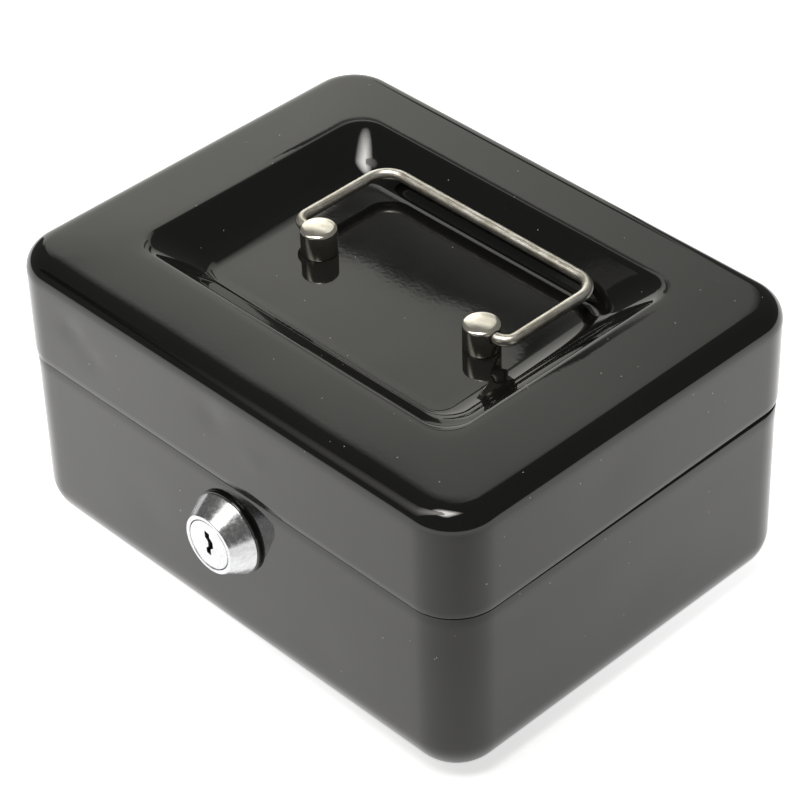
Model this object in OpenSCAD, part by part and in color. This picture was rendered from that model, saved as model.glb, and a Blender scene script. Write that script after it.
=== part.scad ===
// Steel cash box with a dished lid, a folding wire bail and a cam lock. Sizes in millimetres.
// X runs along the front, the front faces -Y, Z is up, and the origin is the centre of the bottom.

/* [Box] */
// Overall width of the lid along the front
body_w = 152; // [80:1:300]
// Overall depth of the lid, front to back
body_d = 117; // [60:1:240]
// Height from the bottom to the lid's top face
body_h = 80; // [40:1:150]
// Radius of the upright corners
corner_r = 13; // [6:0.5:30]
// Thickness of the drawn steel sheet
sheet = 0.8; // [0.5:0.1:1.5]
// Height of the lid's lower edge at the front
seam_h = 51; // [20:0.5:90]
// How much higher the lid's lower edge stands at the back
seam_rise = 1.4; // [0:0.1:3]
// Outer radius where the base turns into its bottom
base_fillet = 10.5; // [3:0.5:12]
// How far the base stands inside the lid's outer face
base_step = 0.4; // [0:0.1:1.5]
// Height of the joggled lip above the front seam
lip_h = 5.4; // [3:0.2:10]
// Gap between the lip and the lid's skirt
lip_gap = 0.4; // [0.3:0.05:1]

/* [Lid] */
// Outer radius where the lid's top turns into its skirt
top_fillet = 5.5; // [2:0.5:10]
// Width of the dish across its rim
dish_w = 107; // [60:1:130]
// Depth of the dish across its rim, front to back
dish_d = 77; // [40:1:100]
// Centre of the dish, right of the lid's middle
dish_x = -1; // [-5:0.5:5]
// Centre of the dish, behind the line of the handle's posts
dish_y = 2; // [-5:0.5:5]
// How deep the dish is pressed
dish_depth = 8; // [3:0.5:12]
// Slope of the dish's sides from the horizontal, degrees
dish_angle = 39; // [20:1:60]
// Corner radius of the dish's floor
dish_floor_r = 2.6; // [2:0.2:8]
// Hollow fillet at the foot of the slope
dish_foot_r = 5; // [1.5:0.5:8]
// Round where the slope meets the top
dish_rim_r = 4; // [1.5:0.5:8]

/* [Handle] */
// Distance between the two posts
post_span = 54.8; // [30:0.2:90]
// Diameter of each post
post_d = 9.2; // [6:0.2:14]
// Height of each post above the dish's floor
post_h = 7.4; // [5:0.1:14]
// Height of the wire's axis above the dish's floor
wire_h = 5; // [3:0.1:10]
// Diameter of the bail's wire
wire_d = 2.8; // [1.5:0.1:5]
// Distance between the centre lines of the bail's arms
bail_w = 71; // [40:0.5:110]
// Distance from the pivot to the bar's centre line
bail_l = 30.9; // [15:0.1:60]
// Bend radius of the wire beside the posts
bail_near_r = 3.2; // [2:0.2:8]
// Bend radius of the wire at the bar's ends
bail_far_r = 6; // [3:0.5:14]

/* [Lock] */
// How far the lock's axis is right of the middle
lock_x = 1.5; // [-40:0.5:40]
// Height of the lock's axis
lock_z = 36; // [15:0.2:60]
// Diameter of the bezel at the wall
bezel_d = 21.2; // [14:0.1:30]
// Diameter of the bezel's face
bezel_face_d = 15.7; // [12:0.1:24]
// How far the bezel's face stands out of the base's wall
bezel_h = 6.9; // [2:0.1:12]
// Diameter of the trim ring behind the bezel
trim_d = 22; // [15:0.2:32]
// Thickness of the trim ring
trim_t = 1; // [0.3:0.1:1.5]
// Diameter of the plug's face
plug_d = 13.2; // [8:0.1:18]
// Diameter of the plug's body
plug_body_d = 11.1; // [7:0.1:16]
// Radial running gap round the plug
plug_gap = 0.05; // [0.02:0.01:0.1]
// Outside diameter of the threaded barrel
barrel_d = 16; // [12:0.5:22]
// Distance across the barrel's two flats
barrel_flats = 14.7; // [10:0.1:20]
// Length of the barrel behind the wall's outer face
barrel_l = 11; // [6:0.5:20]
// Distance across the nut's flats
nut_af = 20; // [16:0.5:28]
// Length of the cam from its axis to its tip
cam_l = 18.5; // [12:0.5:24]
// Width of the cam's arm
cam_w = 7; // [4:0.5:10]
// Number of wafers in the plug
wafer_n = 4; // [1:1:6]

/* [Hinges] */
// Distance between the two hinges' centres
hinge_span = 84; // [40:1:120]
// Width of each hinge
hinge_w = 24; // [12:1:40]
// Width of the lid's knuckle
knuckle_w = 10; // [5:0.5:20]
// Outer radius of the knuckles
knuckle_r = 1.75; // [1.3:0.05:3]
// Radius of the hinge pin
pin_r = 0.9; // [0.6:0.05:1.5]
// Radial running gap round the pin
pin_gap = 0.05; // [0.02:0.01:0.1]
// Thickness of the leaves
leaf_t = 0.8; // [0.5:0.1:1.5]
// Length of each leaf past the seam
leaf_l = 10; // [6:0.5:20]
// Radius of a rivet's shank
rivet_r = 1; // [0.8:0.1:2]

/* [Tray] */
// Width of the tray's body
tray_w = 138; // [80:1:146]
// Y of the tray's front wall
tray_front = -40.5; // [-45:0.5:-10]
// Y of the tray's back wall
tray_back = 52; // [10:0.5:55]
// Depth of the tray under the lip's top
tray_drop = 23; // [10:0.5:40]
// Wall thickness of the tray
tray_t = 1.6; // [1:0.1:3]
// Y of the wall between the coin row and the note row
tray_mid = 6; // [-20:1:40]

/* [Hidden] */

paint = [0.07, 0.07, 0.08];
nickel = [0.80, 0.78, 0.72];
zinc = [0.70, 0.72, 0.75];
brass = [0.78, 0.63, 0.32];
plastic = [0.16, 0.16, 0.17];

// Straight runs of the box's outline end at these half sizes; every wall sweeps round them.
core_x = body_w / 2 - corner_r;
core_y = body_d / 2 - corner_r;
base_r = corner_r - base_step;
lip_r = corner_r - sheet - lip_gap;
lip_top = seam_h + lip_h;
joggle_lo = seam_h - 0.4;
joggle_hi = seam_h - 0.05;
wall_y = -(core_y + base_r);

// Dish: where the floor, the slope and the top would meet if their corners were sharp.
dish_run = dish_depth / tan(dish_angle);
dish_core_x = dish_w / 2 - dish_floor_r - dish_run - dish_rim_r * tan(dish_angle / 2);
dish_core_y = dish_d / 2 - dish_floor_r - dish_run - dish_rim_r * tan(dish_angle / 2);
dish_z = body_h - dish_depth;
wire_r = wire_d / 2;
wire_z = dish_z + wire_h;
arm_x = bail_w / 2;
post_x = post_span / 2;
wire_in = post_x + 0.2;

// Lock: every part is drawn round local Z, which points out of the front wall.
housing_back = -barrel_l;
cam_z = housing_back - 0.9;
cam_t = 1.6;
washer_t = 0.8;
nut_t = 4;
tail = 5.5;
strike_x = 12;
strike_w = 8;
strike_t = 1.2;

// Hinges: the pins' axis, just outside the back of the lid.
hinge_y = body_d / 2 + knuckle_r + 0.25;
hinge_z = seam_h + 0.7;
base_back = -wall_y;
lid_back = body_d / 2;
lid_leaf_z = hinge_z + knuckle_r + 0.45;
base_leaf_z = hinge_z - knuckle_r - 0.55;
rivet_dx = 7;
lid_rivet_z = lid_leaf_z + 5.3;
base_rivet_z = base_leaf_z - 5;

tray_rim = lip_top + 0.1;
tray_floor = tray_rim - tray_drop;
tray_top = tray_rim + 1.7;

// ---------- shared shapes ----------

// A pie slice of a disc: radius r about c, from angle a over sweep s (under 180 degrees).
module slice(c, r, a, s) {
    far = 2 * r / cos(s / 2);
    translate(c) intersection() {
        circle(r);
        polygon([[0, 0], far * [cos(a), sin(a)], far * [cos(a + s / 2), sin(a + s / 2)],
                 far * [cos(a + s), sin(a + s)]]);
    }
}

// A solid pan: the 2D outline in (distance from the core, height) swept round a rounded
// rectangle, with the middle filled between two heights.
module pan(cx, cy, lo, hi) {
    translate([-cx, -cy, lo]) cube([2 * cx, 2 * cy, hi - lo]);
    for (s = [0, 1]) rotate([0, 0, 180 * s]) {
        translate([-cx, cy, 0]) rotate([90, 0, 90]) linear_extrude(2 * cx) children();
        translate([cx, cy, 0]) rotate_extrude(angle = 90) children();
        rotate([0, 0, 90]) {
            translate([-cy, cx, 0]) rotate([90, 0, 90]) linear_extrude(2 * cy) children();
            translate([cy, cx, 0]) rotate_extrude(angle = 90) children();
        }
    }
}

// Lid outline: square below, rounded on top, drawn `t` inside the outer face.
module lid_outline(t, lo) {
    r = corner_r - t;
    f = top_fillet - t;
    top = body_h - t;
    translate([0, lo]) square([r, top - f - lo]);
    translate([0, top - f]) square([r - f, f]);
    intersection() {
        translate([r - f, top - f]) circle(f);
        translate([r - f, top - f]) square(f + 1);
    }
}

// Dish outline: the air over the dish, or with `t` the air plus a sheet of that thickness.
module dish_outline(t) {
    h = tan(dish_angle / 2);
    zf = dish_z - t;
    zt = body_h - t;
    v1 = dish_floor_r + t * h;
    v2 = v1 + dish_run;
    f1 = dish_foot_r + t;
    f2 = dish_rim_r - t;
    l1 = f1 * h;
    l2 = f2 * h;
    top = body_h + 2;
    c1 = [v1 - l1, zf + f1];
    c2 = [v2 + l2, zt - f2];
    t1 = [v1 + l1 * cos(dish_angle), zf + l1 * sin(dish_angle)];
    t2 = [v2 - l2 * cos(dish_angle), zt - l2 * sin(dish_angle)];
    polygon([[0, zf], [c1[0], zf], t1, t2, [t2[0], top], [0, top]]);
    slice(c1, f1, -90, dish_angle);
    difference() {
        polygon([t2, c2, [c2[0], zt], [c2[0], top], [t2[0] - 1, top], [t2[0] - 1, t2[1] + 2]]);
        translate(c2) circle(f2);
    }
}

// Base outline: rounded foot, straight wall, then a joggle in to the lip, drawn `t` inside.
module base_outline(t) {
    r = base_r - t;
    f = base_fillet - t;
    k = t * 0.65;
    top = lip_top + (t > 0 ? 1 : 0);
    translate([0, t]) square([r - f, f]);
    slice([r - f, t + f], f, -90, 90);
    polygon([[0, t + f], [r, t + f], [r, joggle_lo - k], [lip_r - t, joggle_hi - k],
             [lip_r - t, top], [0, top]]);
}

// Places the lock's parts: local Z out of the front wall, local Y up.
module at_lock() {
    translate([lock_x, wall_y, lock_z]) rotate([90, 0, 0]) children();
}

// A rivet along +Y: shank from y0 to y1 with a low head on each side.
module rivet(x, z, y0, y1) {
    translate([x, y0, z]) rotate([-90, 0, 0]) {
        cylinder(r = rivet_r, h = y1 - y0);
        translate([0, 0, y1 - y0]) cylinder(r1 = 1.8, r2 = 1.1, h = 0.7);
        translate([0, 0, -0.5]) cylinder(r1 = 1.4, r2 = 1.8, h = 0.5);
    }
}

// A round hole along Y through a back wall.
module back_hole(x, z, r) {
    translate([x, body_d / 2 - 4, z]) rotate([-90, 0, 0]) cylinder(r = r, h = 8);
}

// ---------- base ----------

module base_shell() {
    color(paint) difference() {
        pan(core_x, core_y, 0, lip_top) base_outline(0);
        pan(core_x, core_y, sheet, lip_top + 1) base_outline(sheet);
        at_lock() translate([0, 0, -3]) linear_extrude(6) intersection() {
            circle(d = barrel_d + 0.2);
            square([barrel_flats + 0.2, barrel_d + 2], center = true);
        }
        for (s = [-1, 1], k = [-1, 1])
            back_hole(s * hinge_span / 2 + k * rivet_dx, base_rivet_z, rivet_r + 0.05);
    }
}

// A tube along X for a hinge knuckle, from x0 to x1 on the pin's axis.
module knuckle(x0, x1) {
    translate([x0, hinge_y, hinge_z]) rotate([0, 90, 0]) difference() {
        cylinder(r = knuckle_r, h = x1 - x0);
        translate([0, 0, -1]) cylinder(r = pin_r + pin_gap, h = x1 - x0 + 2);
    }
}

// The strap from a leaf to its knuckle; dir is 1 for the lid's side and -1 for the base's.
module strap(x0, x1, y, z, dir) {
    translate([x0, 0, 0]) rotate([90, 0, 90]) linear_extrude(x1 - x0)
        difference() {
            polygon([[y, z + dir * 0.01], [y + leaf_t, z + dir * 0.01],
                     [hinge_y - 0.9, hinge_z + dir * 1.4], [hinge_y - 1.5, hinge_z],
                     [y, hinge_z]]);
            translate([hinge_y, hinge_z]) circle(pin_r + pin_gap);
        }
}

module hinge_base_leaf(side) {
    x = side * hinge_span / 2;
    e = hinge_w / 2;
    g = knuckle_w / 2 + 0.3;
    color(zinc) difference() {
        union() {
            translate([x - e, base_back, base_leaf_z - leaf_l]) cube([hinge_w, leaf_t, leaf_l]);
            for (a = [[-e, -g], [g, e]]) {
                strap(x + a[0], x + a[1], base_back, base_leaf_z, -1);
                knuckle(x + a[0], x + a[1]);
            }
        }
        for (k = [-1, 1]) back_hole(x + k * rivet_dx, base_rivet_z, rivet_r + 0.05);
    }
}

module hinge_lid_leaf(side) {
    x = side * hinge_span / 2;
    g = knuckle_w / 2;
    color(zinc) difference() {
        union() {
            translate([x - hinge_w / 2, lid_back, lid_leaf_z]) cube([hinge_w, leaf_t, leaf_l]);
            strap(x - g, x + g, lid_back, lid_leaf_z, 1);
            knuckle(x - g, x + g);
        }
        for (k = [-1, 1]) back_hole(x + k * rivet_dx, lid_rivet_z, rivet_r + 0.05);
    }
}

module hinge_pin(side) {
    e = hinge_w / 2;
    color(zinc) translate([side * hinge_span / 2, hinge_y, hinge_z]) rotate([0, 90, 0]) {
        translate([0, 0, -e - 0.1]) cylinder(r = pin_r, h = hinge_w + 0.2);
        translate([0, 0, e + 0.1]) cylinder(r1 = 1.35, r2 = 0.9, h = 0.6);
        translate([0, 0, -e - 0.7]) cylinder(r1 = 0.9, r2 = 1.35, h = 0.6);
    }
}

module hinge_base_leaf_left() { hinge_base_leaf(-1); }
module hinge_base_leaf_right() { hinge_base_leaf(1); }
module hinge_lid_leaf_left() { hinge_lid_leaf(-1); }
module hinge_lid_leaf_right() { hinge_lid_leaf(1); }
module hinge_pin_left() { hinge_pin(-1); }
module hinge_pin_right() { hinge_pin(1); }

module hinge_base_rivets() {
    color(zinc) for (s = [-1, 1], k = [-1, 1])
        rivet(s * hinge_span / 2 + k * rivet_dx, base_rivet_z, base_back - sheet,
              base_back + leaf_t);
}

module hinge_lid_rivets() {
    color(zinc) for (s = [-1, 1], k = [-1, 1])
        rivet(s * hinge_span / 2 + k * rivet_dx, lid_rivet_z, lid_back - sheet,
              lid_back + leaf_t);
}

// ---------- lock ----------

// Conical bezel and threaded barrel in one casting, bored for the plug.
module lock_housing() {
    r = barrel_d / 2;
    color(nickel) at_lock() difference() {
        union() {
            rotate_extrude() polygon([
                [0, trim_t], [bezel_d / 2 - 0.15, trim_t], [bezel_d / 2, trim_t + 0.15],
                [bezel_d / 2, trim_t + 0.5], [bezel_face_d / 2 + 0.1, bezel_h - 0.3],
                [bezel_face_d / 2 - 0.2, bezel_h], [0, bezel_h]]);
            intersection() {
                rotate_extrude() polygon(concat(
                    [[0, housing_back], [r - 0.8, housing_back]],
                    [for (i = [0:6], s = [0:2]) [
                        r - (s == 1 ? 0 : 0.55), housing_back + 0.8 + 1.25 * (i + s * 0.45)]],
                    [[r - 0.55, -1.2], [r, -0.9], [r, trim_t + 0.1], [0, trim_t + 0.1]]));
                translate([-barrel_flats / 2, -r - 1, housing_back - 1])
                    cube([barrel_flats, 2 * r + 2, barrel_l + 3]);
            }
        }
        translate([0, 0, housing_back - 1])
            cylinder(d = plug_body_d + 2 * plug_gap, h = barrel_l + bezel_h + 2);
        translate([0, 0, bezel_h - 1.7]) cylinder(d = plug_d + 2 * plug_gap, h = 3);
        translate([0, 0, bezel_h - 0.2])
            cylinder(d1 = plug_d + 2 * plug_gap, d2 = plug_d + 0.6, h = 0.21);
    }
}

module lock_trim_ring() {
    color(plastic) at_lock() rotate_extrude() polygon([
        [barrel_d / 2 + 0.15, 0], [trim_d / 2, 0], [trim_d / 2, trim_t - 0.2],
        [trim_d / 2 - 0.2, trim_t], [barrel_d / 2 + 0.15, trim_t]]);
}

module lock_washer() {
    color(zinc) at_lock() translate([0, 0, -sheet - washer_t]) difference() {
        cylinder(r = 11.4, h = washer_t);
        translate([0, 0, -1]) cylinder(r = barrel_d / 2 + 0.15, h = washer_t + 2);
    }
}

module lock_nut() {
    color(zinc) at_lock() translate([0, 0, -sheet - washer_t - nut_t]) difference() {
        intersection() {
            linear_extrude(nut_t) polygon([for (i = [0:5])
                nut_af / 2 / cos(30) * [cos(60 * i + 30), sin(60 * i + 30)]]);
            translate([0, 0, -1.2])
                cylinder(r1 = nut_af / 2 - 1.5, r2 = nut_af / 2 + 3.5, h = nut_t + 1.3);
        }
        translate([0, 0, -1]) cylinder(r = barrel_d / 2 + 0.1, h = nut_t + 2);
    }
}

// The key's slot: a crooked upright opening in local X and Y.
module keyway() {
    polygon([[-1.1, 3.9], [0.5, 3.6], [0.5, 2.5], [1.5, 1.6], [1.6, -0.2], [0.7, -0.9],
             [0.7, -2.9], [-0.8, -2.6], [-0.8, -1.2], [-0.1, -0.5], [-0.1, 1.0],
             [-1.1, 2.0]]);
}

wafer_a = 1.6;
wafer_pitch = 2.3;

module lock_plug() {
    color(nickel) at_lock() difference() {
        union() {
            translate([0, 0, bezel_h - 1.65]) cylinder(d = plug_d, h = 1.4);
            translate([0, 0, bezel_h - 0.25]) cylinder(d1 = plug_d, d2 = plug_d - 0.4, h = 0.2);
            translate([0, 0, housing_back - 0.1])
                cylinder(d = plug_body_d, h = bezel_h + barrel_l - 1.5);
            translate([-tail / 2, -tail / 2, cam_z - cam_t + 0.1])
                cube([tail, tail, -cam_z + cam_t - barrel_l + 1]);
        }
        translate([0, 0, housing_back + 2.5]) linear_extrude(bezel_h + barrel_l) keyway();
        for (i = [0:wafer_n - 1])
            translate([-3.4, -plug_body_d, wafer_a - i * wafer_pitch - 0.55])
                cube([6.8, 2 * plug_body_d, 1.1]);
        translate([0, 0, cam_z - cam_t - 1]) cylinder(r = 1.5, h = 5);
    }
}

// Wafers, one in each of the plug's cross slots, drawn back level with the plug.
module lock_wafers() {
    color(brass) at_lock() for (i = [0:wafer_n - 1])
        translate([0, 0, wafer_a - i * wafer_pitch - 0.5]) linear_extrude(1) difference() {
            intersection() {
                circle(d = plug_body_d - 0.3);
                square([6.7, plug_body_d], center = true);
            }
            translate([0, [0.7, -0.5, 0.3, -0.8, 0.5, 0][i]]) square([4.4, 4.6], center = true);
        }
}

// Cam arm, pointing up while the lock is open.
module lock_cam() {
    color(zinc) at_lock() translate([0, 0, cam_z - cam_t]) linear_extrude(cam_t) difference() {
        union() {
            circle(r = 6.5);
            translate([-cam_w / 2, 0]) square([cam_w, cam_l - cam_w / 2]);
            translate([0, cam_l - cam_w / 2]) circle(d = cam_w);
        }
        square(tail + 0.1, center = true);
    }
}

module cam_washer() {
    color(zinc) at_lock() translate([0, 0, cam_z]) linear_extrude(0.7) difference() {
        circle(r = 7);
        square(tail + 0.1, center = true);
    }
}

module cam_screw() {
    color(zinc) at_lock() translate([0, 0, cam_z - cam_t]) difference() {
        union() {
            translate([0, 0, -0.6]) cylinder(r = 3.9, h = 0.6);
            translate([0, 0, -2]) cylinder(r1 = 2.9, r2 = 3.9, h = 1.4);
            cylinder(r = 1.45, h = 3.7);
        }
        for (a = [0, 90]) rotate([0, 0, a]) translate([-2, -0.4, -3]) cube([4, 0.8, 2]);
    }
}

// ---------- lid ----------

module lid_shell() {
    color(paint) difference() {
        pan(core_x, core_y, seam_h - 2, body_h) lid_outline(0, seam_h - 2);
        difference() {
            pan(core_x, core_y, seam_h - 4, body_h - sheet) lid_outline(sheet, seam_h - 4);
            translate([dish_x, dish_y, 0])
                pan(dish_core_x, dish_core_y, dish_z - sheet, body_h + 2) dish_outline(sheet);
        }
        translate([dish_x, dish_y, 0])
            pan(dish_core_x, dish_core_y, dish_z, body_h + 2) dish_outline(0);
        translate([-body_w, 0, 0]) rotate([90, 0, 90]) linear_extrude(2 * body_w) polygon([
            [-body_d, seam_h - 9], [body_d, seam_h - 9],
            [body_d, seam_h + seam_rise * 1.5], [-body_d, seam_h - seam_rise * 0.5]]);
        for (s = [-1, 1]) {
            translate([s * post_x, 0, dish_z - 3]) cylinder(r = 1.6, h = 6);
            for (k = [-1, 1])
                back_hole(s * hinge_span / 2 + k * rivet_dx, lid_rivet_z, rivet_r + 0.05);
        }
    }
}

// Folded strap inside the lid's front: down past the lip, then back under the locked cam.
module strike_plate() {
    f = -body_d / 2 + sheet;
    p = f + 2.3;
    top = lip_top + 1;
    foot = lock_z - 4.6;
    tip = f + 13.9;
    color(zinc) translate([strike_x, 0, 0]) rotate([90, 0, 90]) linear_extrude(strike_w)
        polygon([[f, top + 9], [f, top], [p, top], [p, foot - strike_t],
                 [tip, foot - strike_t], [tip, foot], [p + strike_t, foot],
                 [p + strike_t, top + strike_t], [f + strike_t, top + strike_t],
                 [f + strike_t, top + 9]]);
}

module handle_post(side) {
    r = post_d / 2;
    color(nickel) translate([side * post_x, 0, dish_z]) difference() {
        intersection() {
            union() {
                cylinder(r = r, h = post_h - 0.8);
                translate([0, 0, post_h - 0.8]) cylinder(r1 = r, r2 = r - 0.35, h = 0.8);
            }
            translate([0, 0, post_h - 22]) sphere(r = 22);
        }
        translate([0, 0, -1]) cylinder(r = 1.5, h = 3.8);
        translate([-side * 0.2, 0, wire_h]) rotate([0, side * 90, 0])
            cylinder(r = wire_r + 0.05, h = r + 2);
    }
}

module handle_post_left() { handle_post(-1); }
module handle_post_right() { handle_post(1); }

module handle_post_washers() {
    color(zinc) for (s = [-1, 1]) translate([s * post_x, 0, dish_z - sheet - 0.5]) difference() {
        cylinder(r = 3.6, h = 0.5);
        translate([0, 0, -1]) cylinder(r = 1.6, h = 3);
    }
}

module handle_post_screws() {
    color(zinc) for (s = [-1, 1]) translate([s * post_x, 0, dish_z - sheet - 0.5]) difference() {
        union() {
            translate([0, 0, -0.7]) cylinder(r = 2.8, h = 0.7);
            translate([0, 0, -1.9]) cylinder(r1 = 1.9, r2 = 2.8, h = 1.2);
            cylinder(r = 1.45, h = 3.8);
        }
        for (a = [0, 90]) rotate([0, 0, a]) translate([-1.6, -0.35, -3]) cube([3.2, 0.7, 2]);
    }
}

// ---------- bail ----------

// Half of the bent wire: stub in the post, near bend, arm, far bend and half of the bar.
module bail_half() {
    n = bail_near_r;
    f = bail_far_r;
    translate([wire_in, 0, 0]) rotate([0, 90, 0]) cylinder(r = wire_r, h = arm_x - n - wire_in);
    translate([arm_x - n, n, 0]) rotate([0, 0, -90]) rotate_extrude(angle = 90)
        translate([n, 0]) circle(wire_r);
    translate([arm_x, n, 0]) rotate([-90, 0, 0]) cylinder(r = wire_r, h = bail_l - f - n);
    translate([arm_x - f, bail_l - f, 0]) rotate_extrude(angle = 90)
        translate([f, 0]) circle(wire_r);
    translate([0, bail_l, 0]) rotate([0, 90, 0]) cylinder(r = wire_r, h = arm_x - f);
}

module handle_bail() {
    color(nickel) translate([0, 0, wire_z]) {
        bail_half();
        mirror([1, 0, 0]) bail_half();
    }
}

// ---------- tray ----------

// One compartment of the tray, open at the top.
module pocket(x0, x1, y0, y1) {
    translate([x0, y0, tray_floor + tray_t]) cube([x1 - x0, y1 - y0, 60]);
}

module coin_tray() {
    w = tray_w / 2;
    r = 6;
    third = (tray_w - 4 * tray_t) / 3;
    half = (tray_w - 3 * tray_t) / 2;
    color(plastic) difference() {
        union() {
            translate([0, 0, tray_floor]) linear_extrude(tray_top - tray_floor) union() {
                translate([-w + r, tray_front]) square([tray_w - 2 * r, tray_back - tray_front]);
                translate([-w, tray_front + r]) square([tray_w, tray_back - tray_front - 2 * r]);
                for (sx = [-1, 1], y = [tray_front + r, tray_back - r])
                    translate([sx * (w - r), y]) circle(r);
            }
            for (s = [0, 1]) mirror([s, 0, 0])
                translate([w - 1, tray_front + r + 1, tray_rim])
                    cube([core_x + lip_r - w + 0.8, 2 * r + tray_back - tray_front - 32, 1.7]);
        }
        for (i = [0:2])
            pocket(-w + tray_t + i * (third + tray_t), -w + (i + 1) * (third + tray_t),
                   tray_front + tray_t, tray_mid - tray_t / 2);
        for (i = [0:1])
            pocket(-w + tray_t + i * (half + tray_t), -w + (i + 1) * (half + tray_t),
                   tray_mid + tray_t / 2, tray_back - tray_t);
    }
}

base_shell();
hinge_base_leaf_left();
hinge_base_leaf_right();
hinge_pin_left();
hinge_pin_right();
hinge_base_rivets();
lock_housing();
lock_trim_ring();
lock_washer();
lock_nut();
lock_plug();
lock_wafers();
lock_cam();
cam_washer();
cam_screw();
lid_shell();
hinge_lid_leaf_left();
hinge_lid_leaf_right();
hinge_lid_rivets();
strike_plate();
handle_post_left();
handle_post_right();
handle_post_washers();
handle_post_screws();
handle_bail();
coin_tray();
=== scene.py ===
import bmesh
import bpy
import math
from mathutils import Matrix, Vector, noise
from mathutils.geometry import tessellate_polygon


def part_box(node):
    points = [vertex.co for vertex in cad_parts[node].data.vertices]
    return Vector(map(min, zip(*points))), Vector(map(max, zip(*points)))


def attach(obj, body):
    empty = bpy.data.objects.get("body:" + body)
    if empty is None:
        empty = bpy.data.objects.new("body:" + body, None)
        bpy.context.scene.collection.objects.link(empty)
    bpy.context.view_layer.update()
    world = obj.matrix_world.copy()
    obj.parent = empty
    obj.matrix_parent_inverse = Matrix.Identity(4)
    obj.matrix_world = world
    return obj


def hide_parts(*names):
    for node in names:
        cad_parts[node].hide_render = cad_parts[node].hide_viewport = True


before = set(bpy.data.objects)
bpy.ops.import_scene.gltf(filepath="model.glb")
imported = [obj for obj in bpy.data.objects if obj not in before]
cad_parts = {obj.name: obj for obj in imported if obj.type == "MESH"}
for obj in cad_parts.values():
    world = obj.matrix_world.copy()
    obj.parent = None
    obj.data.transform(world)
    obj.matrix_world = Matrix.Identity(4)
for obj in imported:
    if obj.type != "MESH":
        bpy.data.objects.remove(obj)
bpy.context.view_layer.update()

# ---------------------------------------------------------------------------
# Studio. A long lens looks down over the front right corner. The floor is a
# pale glowing sweep, dimmer in the box's shade. Boards that give off light
# stand in for a wall on the left and for a softbox overhead.
# ---------------------------------------------------------------------------
MM = 0.001
CAM_AZIMUTH, CAM_ELEVATION, CAM_ROLL = 46.58, 38.72, -1.78
CAM_DISTANCE, CAM_RIGHT, CAM_UP, CAM_TARGET_Z = 752.9, -0.52, 0.66, 40
CAM_FOCAL, CAM_SENSOR = 139.1, 36
FLOOR_HALF, FLOOR_GLOW = 2.5, 1.17
SHADE_AT, SHADE_REACH, SHADE_LEVEL = (0.16, -0.10, 0), 0.26, 0.28
WALL_Y, WALL_LEFT, WALL_RIGHT, WALL_TOP, WALL_FRONT = 0.62, -1.7, -0.33, 1.05, 0.60
WALL_LIGHT = (1.63, 1.62, 1.51)
LAMP_AT, LAMP_HALF, LAMP_CORE, LAMP_LIGHT = (0.04, -0.30, 1.20), 0.34, 0.12, (17.0, 16.6, 16.0)
ARM_END, ARM_HALF, ARM_TIP, ARM_CORE, ARM_LIGHT = (-0.78, -0.93, 0.54), 0.34, 0.12, 0.05, (1.60, 1.57, 1.50)
ROOM_LIGHT = (0.150, 0.150, 0.145)
X_AXIS, Y_AXIS, Z_AXIS = (1, 0, 0), (0, 1, 0), (0, 0, 1)


def new_material(name):
    """A material with only its Principled shader and output; returns it, its tree and the shader."""
    m = bpy.data.materials.new(name)
    m.use_nodes = True
    tree = m.node_tree
    return m, tree, tree.nodes["Principled BSDF"]


def object_coords(tree):
    """The piece's own coordinates, in metres."""
    return tree.nodes.new("ShaderNodeTexCoord").outputs["Object"]


def math_node(tree, op, a, b=None):
    """A Math node; inputs are sockets or numbers."""
    n = tree.nodes.new("ShaderNodeMath")
    n.operation = op
    for socket, value in zip(n.inputs, (a, b)):
        if value is None:
            continue
        if isinstance(value, (int, float)):
            socket.default_value = value
        else:
            tree.links.new(value, socket)
    return n.outputs[0]


def vector_node(tree, op, vector, fixed, out="Value"):
    """A Vector Math node on a socket and a fixed vector."""
    n = tree.nodes.new("ShaderNodeVectorMath")
    n.operation = op
    n.inputs[1].default_value = fixed
    tree.links.new(vector, n.inputs[0])
    return n.outputs[out]


def noise_node(tree, vector, scale, detail=2.0, rough=0.5):
    """Cloudy noise from 0 to 1; scale is in features per metre."""
    n = tree.nodes.new("ShaderNodeTexNoise")
    n.inputs["Scale"].default_value = scale
    n.inputs["Detail"].default_value = detail
    n.inputs["Roughness"].default_value = rough
    tree.links.new(vector, n.inputs["Vector"])
    return n.outputs["Fac"]


def range_node(tree, value, from_lo, from_hi, to_lo, to_hi):
    """Maps a value from one range to another and holds it at the ends."""
    n = tree.nodes.new("ShaderNodeMapRange")
    for key, v in zip(("From Min", "From Max", "To Min", "To Max"), (from_lo, from_hi, to_lo, to_hi)):
        n.inputs[key].default_value = v
    tree.links.new(value, n.inputs["Value"])
    return n.outputs["Result"]


def add_mesh(name, verts, faces, smooth=True):
    """A mesh object at the origin from vertices in metres."""
    me = bpy.data.meshes.new(name)
    me.from_pydata([tuple(v) for v in verts], [], faces)
    me.validate()
    if smooth:
        me.polygons.foreach_set("use_smooth", [True] * len(me.polygons))
    ob = bpy.data.objects.new(name, me)
    bpy.context.scene.collection.objects.link(ob)
    return ob


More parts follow.
